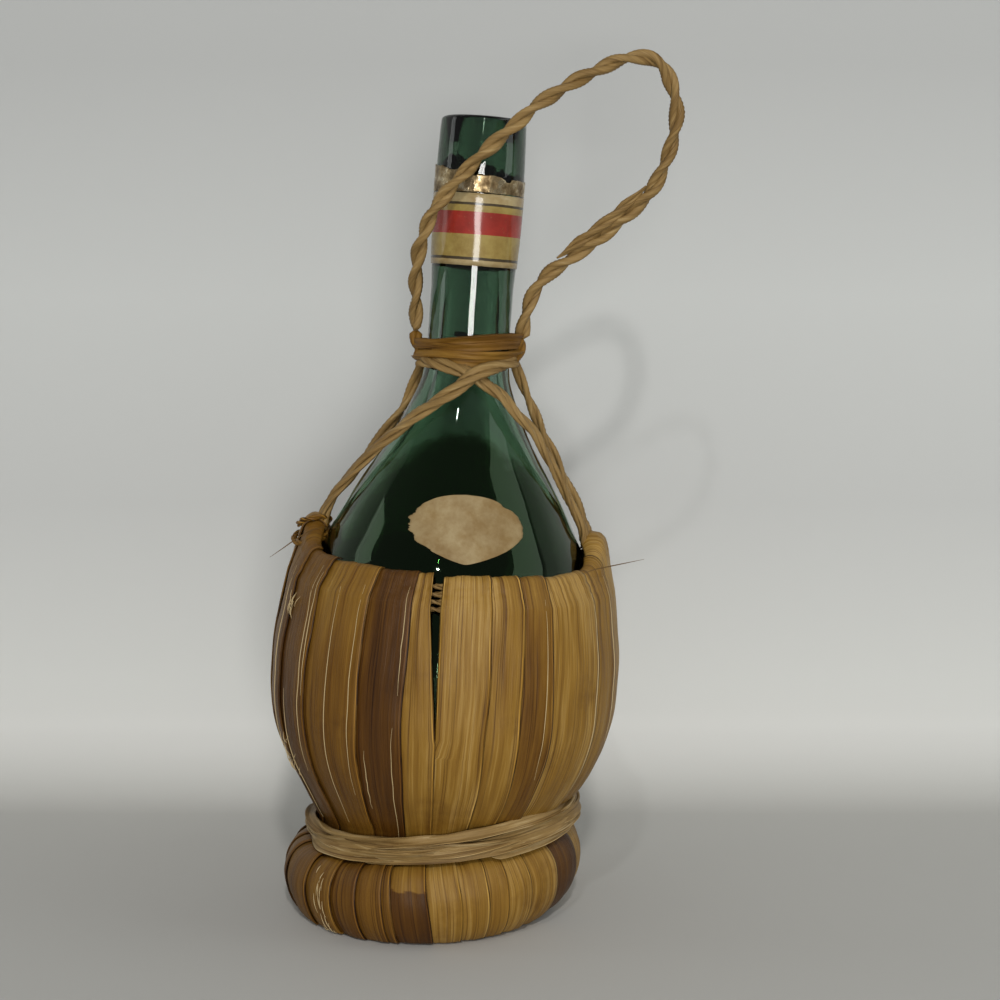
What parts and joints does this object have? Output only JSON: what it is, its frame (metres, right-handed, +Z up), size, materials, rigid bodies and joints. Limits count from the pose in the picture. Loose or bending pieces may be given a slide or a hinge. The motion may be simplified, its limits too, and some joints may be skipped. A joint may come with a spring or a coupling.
{
  "type": "straw-covered wine flask",
  "caption": "Round-bellied dark green glass wine flask in a leaf basket on a straw foot ring, with raffia stays, a neck lashing and a rope loop handle.",
  "frame": {"origin": "centre of the foot ring on the floor", "axes": "+Z up, +X to the right where the flask and its handle lean, -Y to the front with the shoulder label"},
  "size_m": [0.1467, 0.1268, 0.3047],
  "materials": {
    "bottle_glass": "blown, glossy, dark bluish green",
    "capsule_foil": "crinkled, torn, tarnished",
    "neck_paper": "printed bands, scuffed",
    "shoulder_paper": "aged, stained, torn edge",
    "hoop_straw": "wound straw, matt",
    "binding_raffia": "twisted raffia strands",
    "core_straw": "twisted straw, rough",
    "foot_leaf_brown": "dried leaf, creased, frayed",
    "foot_leaf_tan": "dried leaf, creased",
    "ear_leaf": "knotted leaf",
    "stay_raffia": "two-ply raffia cord",
    "lashing_raffia": "flat raffia band",
    "handle_raffia": "two-ply raffia rope",
    "body_leaf_tan": "dried leaf, fine lengthwise fibre",
    "body_leaf_brown": "dried leaf, dark, fine fibre"
  },
  "bodies": {
    "root": {"glass_bottle": "bottle_glass", "neck_foil": "capsule_foil", "neck_label": "neck_paper", "shoulder_label": "shoulder_paper", "rim_hoop": "hoop_straw", "waist_binding": "binding_raffia", "foot_core": "core_straw", "foot_leaves_left": "foot_leaf_brown", "foot_leaves_right": "foot_leaf_tan", "ear_left": "ear_leaf", "ear_right": "ear_leaf", "stay_left_front": "stay_raffia", "stay_left_outer": "stay_raffia", "stay_right_front": "stay_raffia", "stay_right_outer": "stay_raffia", "neck_lashing": "lashing_raffia", "body_leaf_01": "body_leaf_tan", "body_leaf_02": "body_leaf_tan", "body_leaf_03": "body_leaf_brown", "body_leaf_04": "body_leaf_tan", "body_leaf_05": "body_leaf_tan", "body_leaf_06": "body_leaf_tan", "body_leaf_07": "body_leaf_brown", "body_leaf_08": "body_leaf_tan", "body_leaf_09": "body_leaf_tan", "body_leaf_10": "body_leaf_tan", "body_leaf_11": "body_leaf_brown", "body_leaf_12": "body_leaf_tan", "body_leaf_13": "body_leaf_tan", "body_leaf_14": "body_leaf_tan", "body_leaf_15": "body_leaf_brown", "body_leaf_16": "body_leaf_tan", "body_leaf_17": "body_leaf_tan", "body_leaf_18": "body_leaf_tan", "body_leaf_19": "body_leaf_brown", "body_leaf_20": "body_leaf_tan", "body_leaf_21": "body_leaf_tan", "body_leaf_22": "body_leaf_tan"},
    "handle": {"handle_rope": "handle_raffia", "handle_splice": "handle_raffia"}
  },
  "joints": [
    {"name": "handle_swing", "type": "hinge", "parent": "root", "child": "handle", "pos_m": [0.0145, 0, 0.20747], "axis": [0.9973, 0, -0.0732], "range_deg": [0, 110]}
  ]
}
